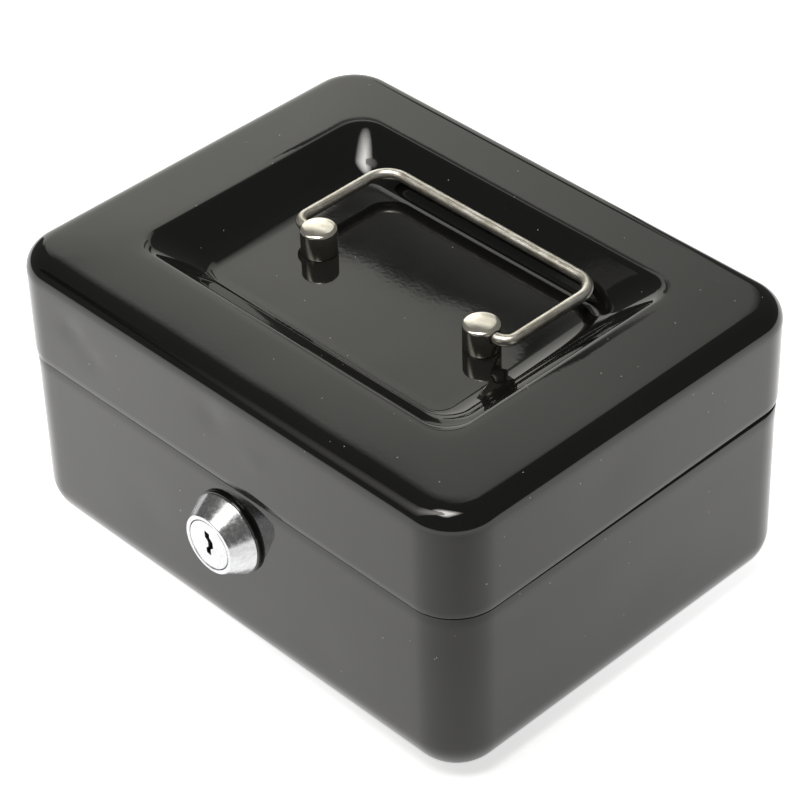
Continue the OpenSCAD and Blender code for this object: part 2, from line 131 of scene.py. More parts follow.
az, el, roll = (math.radians(a) for a in (CAM_AZIMUTH, CAM_ELEVATION, CAM_ROLL))
back = Vector((math.sin(az) * math.cos(el), -math.cos(az) * math.cos(el), math.sin(el)))
right = Vector((math.cos(az), math.sin(az), 0))
up = back.cross(right)
cam_x = right * math.cos(roll) + up * math.sin(roll)
cam_y = up * math.cos(roll) - right * math.sin(roll)
cam_data = bpy.data.cameras.new("camera")
cam_data.lens = CAM_FOCAL
cam_data.sensor_width = CAM_SENSOR
cam_data.clip_start, cam_data.clip_end = 0.05, 20
camera = bpy.data.objects.new("camera", cam_data)
bpy.context.scene.collection.objects.link(camera)
place = (back * CAM_DISTANCE + Vector((0, 0, CAM_TARGET_Z)) + right * CAM_RIGHT + up * CAM_UP) * MM
camera.matrix_world = Matrix.Translation(place) @ Matrix((cam_x, cam_y, back)).transposed().to_4x4()
bpy.context.scene.camera = camera
bpy.context.scene.view_settings.view_transform = "Standard"

floor_mat, tree, shader = new_material("pale_floor")
shader.inputs["Roughness"].default_value = 0.55
coords = object_coords(tree)
tree.links.new(range_node(tree, noise_node(tree, coords, 9), 0, 1, 0.80, 0.84), shader.inputs["Base Color"])
shader.inputs["Emission Color"].default_value = (1, 1, 1, 1)
away = vector_node(tree, "DISTANCE", coords, SHADE_AT)
tree.links.new(range_node(tree, away, 0, SHADE_REACH, SHADE_LEVEL * FLOOR_GLOW, FLOOR_GLOW),
               shader.inputs["Emission Strength"])
e = FLOOR_HALF
floor = add_mesh("floor", [(-e, -e, 0), (e, -e, 0), (e, e, 0), (-e, e, 0)], [(0, 1, 2, 3)], False)
floor.data.materials.append(floor_mat)


def glow_board(name, corners, color, fades):
    """A board that gives off light; each fade scales it along (direction, from, to, start, end)."""
    m, tree, shader = new_material(name)
    shader.inputs["Base Color"].default_value = (0, 0, 0, 1)
    shader.inputs["Roughness"].default_value = 1
    shader.inputs["Emission Color"].default_value = (*color, 1)
    coords = object_coords(tree)
    level = None
    for axis, lo, hi, start, end in fades:
        fade = range_node(tree, vector_node(tree, "DOT_PRODUCT", coords, axis), lo, hi, start, end)
        level = fade if level is None else math_node(tree, "MULTIPLY", level, fade)
    tree.links.new(level, shader.inputs["Emission Strength"])
    ob = add_mesh(name, corners, [tuple(range(len(corners)))], False)
    ob.data.materials.append(m)
    ob.visible_camera = False


glow_board("wall", [(WALL_LEFT, WALL_Y, 0), (WALL_RIGHT, WALL_Y, 0),
                    (WALL_RIGHT, WALL_Y, WALL_TOP), (WALL_LEFT, WALL_Y, WALL_TOP)], WALL_LIGHT,
           [(X_AXIS, -0.75, -0.36, 1.0, 0.52), (X_AXIS, -0.36, WALL_RIGHT, 1.0, 0.0),
            (Z_AXIS, 0.78, 0.95, 1.0, 0.70), (Z_AXIS, 0.95, WALL_TOP, 1.0, 0.0)])
# Two dark breaks in the wall, which the dish's floor and its front slope mirror.
glow_board("wall_joint", [(-0.74, WALL_FRONT, 0.707), (-0.49, WALL_FRONT, 0.707),
                          (-0.435, WALL_FRONT, 0.640), (-0.655, WALL_FRONT, 0.640)],
           WALL_LIGHT, [(Z_AXIS, 0.640, 0.700, 0.30, 0.05)])
glow_board("wall_shelf", [(-0.57, WALL_FRONT, 0.35), (-0.36, WALL_FRONT, 0.35),
                          (-0.36, WALL_FRONT, 0.47), (-0.55, WALL_FRONT, 0.47)],
           WALL_LIGHT, [(X_AXIS, -0.57, -0.50, 0.12, 0.06)])

# The softbox's light falls off towards its edges, and a dimmer arm reaches out to the front left.
lx, ly, lz = LAMP_AT
glow_board("lamp", [(lx - LAMP_HALF, ly - LAMP_HALF, lz), (lx - LAMP_HALF, ly + LAMP_HALF, lz),
                    (lx + LAMP_HALF, ly + LAMP_HALF, lz), (lx + LAMP_HALF, ly - LAMP_HALF, lz)], LAMP_LIGHT,
           [(X_AXIS, lx - LAMP_HALF, lx - LAMP_CORE, 0, 1), (X_AXIS, lx + LAMP_CORE, lx + LAMP_HALF, 1, 0),
            (Y_AXIS, ly - LAMP_HALF, ly - LAMP_CORE, 0, 1), (Y_AXIS, ly + LAMP_CORE, ly + LAMP_HALF, 1, 0)])
far, near = Vector(ARM_END), Vector(LAMP_AT)
arm_side = (far - near).cross(far + near).normalized()
arm_rise = far.x + 0.22
glow_board("lamp_arm", [far - arm_side * ARM_HALF, far + arm_side * ARM_HALF,
                        near + arm_side * ARM_TIP, near - arm_side * ARM_TIP], ARM_LIGHT,
           [(X_AXIS, ARM_END[0], arm_rise, 0.0, 0.7), (X_AXIS, arm_rise, -0.10, 1.0, 4.5),
            (arm_side, -ARM_HALF, -ARM_CORE, 0, 1), (arm_side, ARM_CORE, ARM_HALF, 1, 0)])

world = bpy.data.worlds.new("room")
world.use_nodes = True
world.node_tree.nodes["Background"].inputs["Color"].default_value = (*ROOM_LIGHT, 1)
bpy.context.scene.world = world

# ---------------------------------------------------------------------------
# Base. One drawn steel pan: flat bottom, wide rounded foot, upright walls and
# a joggle in to the lip that the lid drops over. Enamelled gloss black.
# ---------------------------------------------------------------------------
SHEET, CUT_EDGE = 0.8, 0.22
CORE_X, CORE_Y = 63.0, 45.5
BASE_R, LIP_R, FOOT_R = 12.6, 11.8, 10.5
JOGGLE_LOW, JOGGLE_HIGH, LIP_TOP = 50.6, 50.95, 56.4
ARC_CUTS, LONG_CUTS, SHORT_CUTS = 18, 44, 32
BOTTOM_RINGS, BOTTOM_SPINE = 8, 18
# Waves in the sheet: their two lengths, the shorter one's share, and how far all of it stays inside.
WAVE_LONG, WAVE_SHORT, WAVE_SHARE, WAVE_INSET = 34, 15, 0.45, 0.85
BASE_WAVE, BASE_SEED, WAVE_FROM, WAVE_FULL, WAVE_TO = 0.055, 3.1, 6, 13, 47
# Each dent is a place x, y, z, a radius and a depth.
BASE_DENTS = [(-28, -58, 24, 9, 0.10), (33, -58, 17, 12, 0.10), (76, 5, 27, 14, 0.12)]


def mix_color(tree, factor, a, b):
    """Mixes two colours; each is a socket or an (r, g, b)."""
    n = tree.nodes.new("ShaderNodeMix")
    n.data_type = "RGBA"
    tree.links.new(factor, n.inputs["Factor"])
    for key, v in (("A", a), ("B", b)):
        socket = next(s for s in n.inputs if s.name == key and s.type == "RGBA")
        if isinstance(v, tuple):
            socket.default_value = (*v, 1)
        else:
            tree.links.new(v, socket)
    return next(s for s in n.outputs if s.type == "RGBA")


def bump_node(tree, height, distance, strength=1.0, below=None):
    """A bump of a depth in metres, laid over another bump where one is given."""
    n = tree.nodes.new("ShaderNodeBump")
    n.inputs["Strength"].default_value = strength
    n.inputs["Distance"].default_value = distance
    tree.links.new(height, n.inputs["Height"])
    if below is not None:
        tree.links.new(below, n.inputs["Normal"])
    return n.outputs["Normal"]


def blend(tree, value, lo, hi, a, b):
    """Goes from colour a to colour b as a value rises from lo to hi."""
    return mix_color(tree, range_node(tree, value, lo, hi, 0, 1), a, b)


def set_finish(tree, shader, color, roughness, normal, metallic=0.0):
    """Puts a finish's colour, roughness and bump on its shader."""
    tree.links.new(color, shader.inputs["Base Color"])
    tree.links.new(roughness, shader.inputs["Roughness"])
    tree.links.new(normal, shader.inputs["Normal"])
    shader.inputs["Metallic"].default_value = metallic


# Gloss stove enamel: orange peel about a millimetre across, faint wipe marks in the gloss,
# and a few specks of dust.
enamel, tree, shader = new_material("black_enamel")
coords = object_coords(tree)
peel = noise_node(tree, coords, 780, 1.5, 0.45)
wipe = noise_node(tree, coords, 42, 4, 0.6)
cloud = noise_node(tree, coords, 17, 3, 0.5)
specks = tree.nodes.new("ShaderNodeTexVoronoi")
specks.inputs["Scale"].default_value = 260
tree.links.new(coords, specks.inputs["Vector"])
pick = tree.nodes.new("ShaderNodeSeparateColor")
tree.links.new(specks.outputs["Color"], pick.inputs["Color"])
near = math_node(tree, "LESS_THAN", specks.outputs["Distance"], 0.045)
chosen = math_node(tree, "GREATER_THAN", pick.outputs["Red"], 0.65)
dust = math_node(tree, "MULTIPLY", near, chosen)
tone = blend(tree, cloud, 0.3, 0.7, (0.0045, 0.0045, 0.0044), (0.0065, 0.0065, 0.0062))
set_finish(tree, shader, mix_color(tree, dust, tone, (0.30, 0.29, 0.27)),
           range_node(tree, wipe, 0.25, 0.75, 0.030, 0.065), bump_node(tree, peel, 0.0000026))
shader.inputs["IOR"].default_value = 1.5


def outline(hx, hy, r):
    """Points round a rounded rectangle, always the same number, so that rings bridge one to one."""
    r = max(r, 1e-4)
    quarters = ((1, 1), (-1, 1), (-1, -1), (1, -1))
    pts = []
    for k, (sx, sy) in enumerate(quarters):
        cx, cy = sx * (hx - r), sy * (hy - r)
        for i in range(ARC_CUTS + 1):
            a = math.radians(90 * k + 90 * i / ARC_CUTS)
            pts.append((cx + r * math.cos(a), cy + r * math.sin(a)))
        nsx, nsy = quarters[(k + 1) % 4]
        a = math.radians(90 * (k + 1))
        x1, y1 = pts[-1]
        x2, y2 = nsx * (hx - r) + r * math.cos(a), nsy * (hy - r) + r * math.sin(a)
        cuts = LONG_CUTS if k % 2 == 0 else SHORT_CUTS
        pts += [(x1 + (x2 - x1) * i / cuts, y1 + (y2 - y1) * i / cuts) for i in range(1, cuts)]
    return pts


def ring_at(z, hx, hy, r, dx=0.0, dy=0.0):
    """One level ring of a skin, moved sideways where the shape is off centre."""
    return [(x + dx, y + dy, z) for x, y in outline(hx, hy, r)]


def ring_mesh(name, rings):
    """Skins a list of rings of equal length, in millimetres, and fills the last one."""
    n = len(rings[0])
    verts = [Vector(p) * MM for ring in rings for p in ring]
    faces = []
    for j in range(len(rings) - 1):
        for i in range(n):
            k = (i + 1) % n
            faces.append((j * n + i, j * n + k, (j + 1) * n + k, (j + 1) * n + i))
    faces.append(tuple((len(rings) - 1) * n + i for i in range(n)))
    return add_mesh(name, verts, faces)


def face_out(ob, level, up):
    """Points a skin's faces outwards: the flat part at a level has to look up, or else down."""
    bm = bmesh.new()
    bm.from_mesh(ob.data)
    bmesh.ops.recalc_face_normals(bm, faces=bm.faces)
    flat = [f for f in bm.faces if abs(f.calc_center_median().z - level * MM) < 0.5 * MM]
    if (sum(f.normal.z for f in flat) > 0) != up:
        bmesh.ops.reverse_faces(bm, faces=bm.faces)
    bm.to_mesh(ob.data)
    bm.free()


def arc(cx, cz, r, a0, a1, steps):
    """Points of an arc in the profile plane, angles in degrees from outward to upward."""
    return [(cx + r * math.cos(math.radians(a0 + (a1 - a0) * i / steps)),
             cz + r * math.sin(math.radians(a0 + (a1 - a0) * i / steps))) for i in range(steps + 1)]


def line(p, q, steps):
    """Points between two points of the profile plane, without the ends."""
    return [(p[0] + (q[0] - p[0]) * i / steps, p[1] + (q[1] - p[1]) * i / steps) for i in range(1, steps)]


def wavy(ob, amount, seed, dents, share=lambda z: 1.0):
    """Moves the sheet in by a varying fraction of a millimetre, as pressing and handling leave it."""
    me = ob.data
    normals = [v.normal.copy() for v in me.vertices]
    for v, n in zip(me.vertices, normals):
        p = v.co / MM
        d = noise.noise(p / WAVE_LONG + Vector((seed, 0, 0)))
        d += WAVE_SHARE * noise.noise(p / WAVE_SHORT + Vector((0, seed, 0)))
        d = (d - WAVE_INSET) * amount
        for x, y, z, r, depth in dents:
            q = (p - Vector((x, y, z))).length / r
            d -= depth * math.exp(-q * q * 2)
        v.co += n * d * MM * share(p.z)


def sheet_steel(ob):
    """Gives a skin its sheet thickness on the inside and a soft cut edge, then bakes both in."""
    s = ob.modifiers.new("sheet", "SOLIDIFY")
    s.thickness = SHEET * MM
    s.offset = -1
    s.use_even_offset = True
    b = ob.modifiers.new("cut_edge", "BEVEL")
    b.width = CUT_EDGE * MM
    b.segments = 3
    b.limit_method = "ANGLE"
    b.angle_limit = math.radians(50)
    bpy.context.view_layer.update()
    deps = bpy.context.evaluated_depsgraph_get()
    me = bpy.data.meshes.new_from_object(ob.evaluated_get(deps))
    ob.modifiers.clear()
    old, ob.data = ob.data, me
    bpy.data.meshes.remove(old)
    me.polygons.foreach_set("use_smooth", [True] * len(me.polygons))


def dress(ob, body, slot, material, *nodes):
    """One material, the body it rides on and the CAD nodes it stands for; the slot argument is not used."""
    ob.data.materials.clear()
    ob.data.materials.append(material)
    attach(ob, body)
    if nodes:
        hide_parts(*nodes)


profile = [(LIP_R, LIP_TOP)] + line((LIP_R, LIP_TOP), (LIP_R, JOGGLE_HIGH), 4)
profile += [(LIP_R, JOGGLE_HIGH + 0.25), (LIP_R + 0.08, JOGGLE_HIGH), (BASE_R - 0.3, JOGGLE_LOW + 0.12),
            (BASE_R - 0.07, JOGGLE_LOW - 0.05), (BASE_R, JOGGLE_LOW - 0.3)]
profile += line((BASE_R, JOGGLE_LOW - 0.3), (BASE_R, FOOT_R), 14)
profile += arc(BASE_R - FOOT_R, FOOT_R, FOOT_R, 0, -90, 16)
rings = [ring_at(z, CORE_X + d, CORE_Y + d, d) for d, z in profile]
inner = profile[-1][0]
for i in range(1, BOTTOM_RINGS + 1):
    k = 1 - i / (BOTTOM_RINGS + 0.6)
    rings.append(ring_at(0, (CORE_X + inner) * k + BOTTOM_SPINE * (1 - k), (CORE_Y + inner) * k, inner * k))
base = ring_mesh("base", rings)
face_out(base, 0, up=False)
# The walls are wavy; the foot, the joggle and the lip are stiff and stay true.
wavy(base, BASE_WAVE, BASE_SEED, BASE_DENTS,
     lambda z: min(1, max(0, (z - WAVE_FROM) / (WAVE_FULL - WAVE_FROM))) if z < WAVE_TO else 0)
sheet_steel(base)
dress(base, "base", "black_enamel", enamel, "base_shell")

# ---------------------------------------------------------------------------
# Lid. A second drawn pan, upside down: skirt, rounded top edge, a faintly
# crowned rim and the wide pressed dish that the handle folds into.
# ---------------------------------------------------------------------------
LID_R, TOP_Z, TOP_R, CROWN = 13.0, 80.0, 5.5, 0.2
SEAM_FRONT, SEAM_RISE, BODY_D = 51.0, 1.4, 117.0
DISH_X, DISH_Y = -1.0, 2.0
DISH_HX, DISH_HY, DISH_DEPTH, DISH_ANGLE = 53.6, 38.6, 8.0, 39.0
RIM_R, FRONT_FOOT_R, SIDE_FOOT_R = 2.6, 2.2, 12.0
RIM_CORNER, FLOOR_CORNER, CORNER_SWELL = 7.0, 4.0, 3.0
SKIRT_RINGS, EDGE_CUTS, FLANGE_RINGS, DISH_RINGS, FLOOR_RINGS, FLOOR_SPINE = 12, 14, 8, 34, 10, 9
LID_WAVE, LID_SEED = 0.05, 7.7
LID_DENTS = [(-52, -58.5, 67, 4.5, 0.30), (-45, -58.5, 62, 4, 0.22), (-2, -58.5, 69, 5, 0.25),
             (12, -58.5, 63, 3.5, -0.15), (76, -10, 66, 12, 0.15)]


def skirt_edge(y):
    """Height of the skirt's lower edge, which rises toward the back."""
    return SEAM_FRONT + SEAM_RISE * (y + BODY_D / 2) / BODY_D


rings = []
full = TOP_Z - CROWN - TOP_R
for i in range(SKIRT_RINGS + 1):
    t = i / SKIRT_RINGS
    rings.append([(x, y, skirt_edge(y) * (1 - t) + full * t)
                  for x, y in outline(CORE_X + LID_R, CORE_Y + LID_R, LID_R)])
for d, z in arc(LID_R - TOP_R, full, TOP_R, 0, 90, EDGE_CUTS)[1:]:
    rings.append(ring_at(z, CORE_X + d, CORE_Y + d, d))
edge_r = LID_R - TOP_R
edge_hx, edge_hy = CORE_X + edge_r, CORE_Y + edge_r
for i in range(1, FLANGE_RINGS):
    t = i / FLANGE_RINGS
    rings.append(ring_at(TOP_Z - CROWN * (1 - t) ** 1.6, edge_hx + (DISH_HX - edge_hx) * t,
                         edge_hy + (DISH_HY - edge_hy) * t, edge_r + (RIM_CORNER - edge_r) * t,
                         DISH_X * t, DISH_Y * t))
slope = math.radians(DISH_ANGLE)


def dish_inset(z, foot_r):
    """How far the pressed side has come in from the rim at a height, for a foot of a given radius."""
    down = TOP_Z - z
    half = math.tan(slope / 2)
    rim_down = RIM_R * (1 - math.cos(slope))
    foot_up = foot_r * (1 - math.cos(slope))
    run = DISH_DEPTH / math.tan(slope) + (RIM_R + foot_r) * half
    if down <= rim_down:
        return RIM_R * math.sin(math.acos(max(-1, 1 - down / RIM_R)))
    if down <= DISH_DEPTH - foot_up:
        return RIM_R * half + down / math.tan(slope)
    return run - foot_r * math.sin(math.acos(min(1, 1 - (DISH_DEPTH - down) / foot_r)))


for i in range(DISH_RINGS + 1):
    t = i / DISH_RINGS
    z = TOP_Z - DISH_DEPTH * (0.5 - 0.5 * math.cos(math.pi * t))
    corner = RIM_CORNER + (FLOOR_CORNER - RIM_CORNER) * t + CORNER_SWELL * math.sin(math.pi * t)
    rings.append(ring_at(z, DISH_HX - dish_inset(z, SIDE_FOOT_R), DISH_HY - dish_inset(z, FRONT_FOOT_R),
                         corner, DISH_X, DISH_Y))
fz = TOP_Z - DISH_DEPTH
fx, fy = DISH_HX - dish_inset(fz, SIDE_FOOT_R), DISH_HY - dish_inset(fz, FRONT_FOOT_R)
for i in range(1, FLOOR_RINGS + 1):
    k = 1 - i / (FLOOR_RINGS + 0.6)
    rings.append(ring_at(fz, fx * k + FLOOR_SPINE * (1 - k), fy * k, FLOOR_CORNER * k, DISH_X, DISH_Y))
lid = ring_mesh("lid", rings)
face_out(lid, TOP_Z, up=True)
wavy(lid, LID_WAVE, LID_SEED, LID_DENTS)
sheet_steel(lid)
dress(lid, "lid", "black_enamel", enamel, "lid_shell")

# ---------------------------------------------------------------------------
# Handle posts. Turned steel, nickel plated, with a low domed top and a cross
# hole for the wire; a screw and washer hold each one from under the dish.
# ---------------------------------------------------------------------------
POST_X, POST_R, POST_H, POST_DOME_R = 27.4, 4.6, 7.4, 22.0
FLOOR_Z, WIRE_H, WIRE_R = 72.0, 5.0, 1.4
HOLE_R, HOLE_START, HOLE_END = WIRE_R + 0.33, 0.6, 7

nickel, tree, shader = new_material("nickel_plate")
coords = object_coords(tree)
blotch = noise_node(tree, coords, 260, 3, 0.6)
fine = noise_node(tree, coords, 1500, 2, 0.6)
set_finish(tree, shader, blend(tree, blotch, 0.35, 0.75, (0.92, 0.88, 0.78), (0.82, 0.78, 0.67)),
           range_node(tree, blotch, 0.3, 0.8, 0.13, 0.28), bump_node(tree, fine, 0.000006), 1)


def circle_points(r, z, steps):
    """Points round a level circle about +Z, in millimetres."""
    turn = [2 * math.pi * i / steps for i in range(steps)]
    return [Vector((r * math.cos(a), r * math.sin(a), z)) for a in turn]


def lathe(name, profile, steps=96, close=True):
    """A turned solid about +Z from (radius, height) points in millimetres; close caps both ends."""
    verts, faces = [], []
    for r, z in profile:
        verts += circle_points(r, z, steps)
    for j in range(len(profile) - 1):
        for i in range(steps):
            k = (i + 1) % steps
            faces.append((j * steps + i, j * steps + k, (j + 1) * steps + k, (j + 1) * steps + i))
    if close:
        faces.append(tuple(range(steps))[::-1])
        faces.append(tuple((len(profile) - 1) * steps + i for i in range(steps)))
    return add_mesh(name, [v * MM for v in verts], faces)


def settle(ob, matrix):
    """Moves a mesh into its place, merges doubles and points its faces outwards."""
    ob.data.transform(matrix)
    bm = bmesh.new()
    bm.from_mesh(ob.data)
    bmesh.ops.remove_doubles(bm, verts=bm.verts, dist=1e-6)
    bmesh.ops.recalc_face_normals(bm, faces=bm.faces)
    bm.to_mesh(ob.data)
    bm.free()


def crease(ob, degrees=35):
    """Smooth shading that stays sharp over real edges."""
    bm = bmesh.new()
    bm.from_mesh(ob.data)
    for e in bm.edges:
        e.smooth = not (len(e.link_faces) == 2 and e.calc_face_angle(0) > math.radians(degrees))
    for f in bm.faces:
        f.smooth = True
    bm.to_mesh(ob.data)
    bm.free()


def cut(ob, tool):
    """Takes one solid out of another and bakes the result."""
    b = ob.modifiers.new("cut", "BOOLEAN")
    b.operation = "DIFFERENCE"
    b.solver = "EXACT"
    b.object = tool
    bpy.context.view_layer.update()
    me = bpy.data.meshes.new_from_object(ob.evaluated_get(bpy.context.evaluated_depsgraph_get()))
    ob.modifiers.clear()
    ob.data = me
    bpy.data.objects.remove(tool)


dome_z = POST_H - POST_DOME_R
for side, name in ((-1, "left"), (1, "right")):
    profile = [(POST_R - 0.25, 0), (POST_R - 0.08, 0.04), (POST_R, 0.2), (POST_R, POST_H - 1.05),
               (POST_R - 0.04, POST_H - 0.86), (POST_R - 0.16, POST_H - 0.68), (POST_R - 0.32, POST_H - 0.55)]
    for r in (4.0, 3.4, 2.6, 1.8, 1.0, 0.25):
        profile.append((r, dome_z + math.sqrt(POST_DOME_R * POST_DOME_R - r * r)))
    post = lathe("post_" + name, profile)
    settle(post, Matrix.Translation(Vector((side * POST_X, 0, FLOOR_Z)) * MM))
    drill = lathe("drill", [(HOLE_R, HOLE_START), (HOLE_R, HOLE_END)], 40)
    settle(drill, Matrix.Translation(Vector((side * POST_X, 0, FLOOR_Z + WIRE_H)) * MM)
           @ Matrix.Rotation(side * math.pi / 2, 4, "Y"))
    cut(post, drill)
    crease(post)
    dress(post, "lid", "nickel_plate", nickel, "handle_post_" + name)

# ---------------------------------------------------------------------------
# Handle. One length of nickel-plated wire, bent at four corners; each end
# turns in its post. Swept along its centre line with the draw lines along it.
# ---------------------------------------------------------------------------
BAIL_X, BAIL_Y, NEAR_BEND, FAR_BEND = 35.5, 30.9, 3.2, 6.0
WIRE_IN = POST_X + 0.7
WIRE_SIDES, DRAW_PER_METRE = 36, 40

drawn, tree, shader = new_material("drawn_nickel_wire")
uv = tree.nodes.new("ShaderNodeUVMap")
uv.uv_map = "along"
stretch = tree.nodes.new("ShaderNodeMapping")
stretch.inputs["Scale"].default_value = (7, 26, 1)
tree.links.new(uv.outputs["UV"], stretch.inputs["Vector"])
streak = noise_node(tree, stretch.outputs["Vector"], 1.0, 3, 0.65)
coords = object_coords(tree)
patch = noise_node(tree, coords, 150, 4, 0.65)
pits = noise_node(tree, coords, 1100, 3, 0.7)
shade = math_node(tree, "MULTIPLY", streak, patch)
normal = bump_node(tree, streak, 0.00003, 0.7)
set_finish(tree, shader, blend(tree, shade, 0.16, 0.36, (0.58, 0.53, 0.43), (1.0, 0.98, 0.92)),
           range_node(tree, streak, 0.3, 0.7, 0.28, 0.44), bump_node(tree, pits, 0.000012, 0.8, normal), 1)


def bail_route():
    """Centre line of the wire, one point about every millimetre."""
    half = [(WIRE_IN, 0.0)]
    half += [(WIRE_IN + (BAIL_X - NEAR_BEND - WIRE_IN) * i / 4, 0.0) for i in range(1, 5)]
    half += [(BAIL_X - NEAR_BEND + NEAR_BEND * math.sin(t), NEAR_BEND * (1 - math.cos(t)))
             for t in (math.pi / 2 * i / 10 for i in range(1, 11))]
    half += [(BAIL_X, NEAR_BEND + (BAIL_Y - FAR_BEND - NEAR_BEND) * i / 16) for i in range(1, 17)]
    half += [(BAIL_X - FAR_BEND * (1 - math.cos(t)), BAIL_Y - FAR_BEND * (1 - math.sin(t)))
             for t in (math.pi / 2 * i / 12 for i in range(1, 13))]
    half += [((BAIL_X - FAR_BEND) * (1 - i / 16), BAIL_Y) for i in range(1, 17)]
    return half + [(-x, y) for x, y in half[-2::-1]]


route = bail_route()
guide = bpy.data.meshes.new("bail_guide")
guide.from_pydata([(x * MM, y * MM, (FLOOR_Z + WIRE_H) * MM) for x, y in route],
                  [(i, i + 1) for i in range(len(route) - 1)], [])
bail = bpy.data.objects.new("bail", guide)
bpy.context.scene.collection.objects.link(bail)


def group_tree(name, inputs):
    """An empty geometry tree with a geometry input and output and named size inputs."""
    t = bpy.data.node_groups.new(name, "GeometryNodeTree")
    t.interface.new_socket("Geometry", in_out="INPUT", socket_type="NodeSocketGeometry")
    for key, kind in inputs:
        t.interface.new_socket(key, in_out="INPUT", socket_type=kind)
    t.interface.new_socket("Geometry", in_out="OUTPUT", socket_type="NodeSocketGeometry")
    return t, t.nodes.new("NodeGroupInput"), t.nodes.new("NodeGroupOutput")


def grow(ob, tree, values):
    """Runs a geometry tree on an object with the named values and keeps the plain mesh."""
    mod = ob.modifiers.new(tree.name, "NODES")
    mod.node_group = tree
    for item in tree.interface.items_tree:
        if item.in_out == "INPUT" and item.name in values:
            mod[item.identifier] = values[item.name]
    bpy.context.view_layer.update()
    me = bpy.data.meshes.new_from_object(ob.evaluated_get(bpy.context.evaluated_depsgraph_get()))
    ob.modifiers.clear()
    ob.data = me


wire_tree, t_in, t_out = group_tree("bent_wire", [
    ("Wire radius", "NodeSocketFloat"), ("Sides", "NodeSocketInt"), ("Finish", "NodeSocketMaterial")])
add_node = wire_tree.nodes.new
link = wire_tree.links.new
to_curve = add_node("GeometryNodeMeshToCurve")
capture_len = add_node("GeometryNodeCaptureAttribute")
capture_len.domain = "POINT"
capture_len.capture_items.new("FLOAT", "length")
spline = add_node("GeometryNodeSplineParameter")
ring = add_node("GeometryNodeCurvePrimitiveCircle")
capture_turn = add_node("GeometryNodeCaptureAttribute")
capture_turn.domain = "POINT"
capture_turn.capture_items.new("FLOAT", "turn")
spline_turn = add_node("GeometryNodeSplineParameter")
sweep = add_node("GeometryNodeCurveToMesh")
sweep.inputs["Fill Caps"].default_value = True
joined = add_node("ShaderNodeCombineXYZ")
scale_len = add_node("ShaderNodeMath")
scale_len.operation = "MULTIPLY"
scale_len.inputs[1].default_value = DRAW_PER_METRE
store = add_node("GeometryNodeStoreNamedAttribute")
store.data_type = "FLOAT2"
store.domain = "CORNER"
store.inputs["Name"].default_value = "along"
smooth = add_node("GeometryNodeSetShadeSmooth")
realize = add_node("GeometryNodeRealizeInstances")
coat = add_node("GeometryNodeSetMaterial")
link(t_in.outputs["Geometry"], to_curve.inputs["Mesh"])
link(to_curve.outputs["Curve"], capture_len.inputs["Geometry"])
link(spline.outputs["Length"], capture_len.inputs["length"])
link(t_in.outputs["Wire radius"], ring.inputs["Radius"])
link(t_in.outputs["Sides"], ring.inputs["Resolution"])
link(ring.outputs["Curve"], capture_turn.inputs["Geometry"])
link(spline_turn.outputs["Factor"], capture_turn.inputs["turn"])
link(capture_len.outputs["Geometry"], sweep.inputs["Curve"])
link(capture_turn.outputs["Geometry"], sweep.inputs["Profile Curve"])
link(capture_len.outputs["length"], scale_len.inputs[0])
link(scale_len.outputs[0], joined.inputs["X"])
link(capture_turn.outputs["turn"], joined.inputs["Y"])
link(sweep.outputs["Mesh"], store.inputs["Geometry"])
link(joined.outputs[0], store.inputs["Value"])
link(store.outputs["Geometry"], smooth.inputs["Geometry"])
link(smooth.outputs["Geometry"], realize.inputs["Geometry"])
link(realize.outputs["Geometry"], coat.inputs["Geometry"])
link(t_in.outputs["Finish"], coat.inputs["Material"])
link(coat.outputs["Geometry"], t_out.inputs["Geometry"])
grow(bail, wire_tree, {"Wire radius": WIRE_R * MM, "Sides": WIRE_SIDES, "Finish": drawn})
crease(bail, 60)
dress(bail, "handle", "nickel_plate", drawn, "handle_bail")

# ---------------------------------------------------------------------------
# Cam lock. The bezel and the threaded barrel are one plated zinc casting; the
# plug turns in it, with a crooked key slot and brass wafers across the slot.
# ---------------------------------------------------------------------------
LOCK_X, LOCK_Z, LOCK_WALL = 1.5, 36.0, -58.1
BEZEL_R, FACE_R, BEZEL_H, TRIM_T, TRIM_R = 10.6, 7.85, 6.9, 1.0, 11.0
BORE_R, PLUG_R, PLUG_BODY_R, PLUG_STEP = 6.66, 6.5, 5.55, 1.75
BARREL_R, BARREL_BACK, FLAT_X = 8.0, -11.0, 7.35
THREAD_TOP, THREAD_PITCH, THREAD_DEPTH, LIP_ROUND = -1.2, 1.25, 0.55, 0.35
to_lock = Matrix.Translation(Vector((LOCK_X, LOCK_WALL, LOCK_Z)) * MM) @ Matrix.Rotation(math.pi / 2, 4, "X")

plated, tree, shader = new_material("lock_plate")
coords = object_coords(tree)
centred = vector_node(tree, "SUBTRACT", coords, (LOCK_X * MM, 0, LOCK_Z * MM), "Vector")
parts = tree.nodes.new("ShaderNodeSeparateXYZ")
tree.links.new(centred, parts.inputs[0])
xx = math_node(tree, "MULTIPLY", parts.outputs["X"], parts.outputs["X"])
zz = math_node(tree, "MULTIPLY", parts.outputs["Z"], parts.outputs["Z"])
radius = math_node(tree, "SQRT", math_node(tree, "ADD", xx, zz))
turned = tree.nodes.new("ShaderNodeCombineXYZ")
tree.links.new(radius, turned.inputs["X"])
tree.links.new(parts.outputs["Y"], turned.inputs["Y"])
rings_tex = noise_node(tree, turned.outputs[0], 4200, 3, 0.7)
mottle = noise_node(tree, coords, 900, 4, 0.65)
normal = bump_node(tree, rings_tex, 0.000006, 0.8)
set_finish(tree, shader, blend(tree, mottle, 0.3, 0.7, (0.52, 0.53, 0.55), (0.70, 0.70, 0.71)),
           range_node(tree, mottle, 0.3, 0.75, 0.16, 0.34), bump_node(tree, mottle, 0.000020, 0.8, normal), 1)

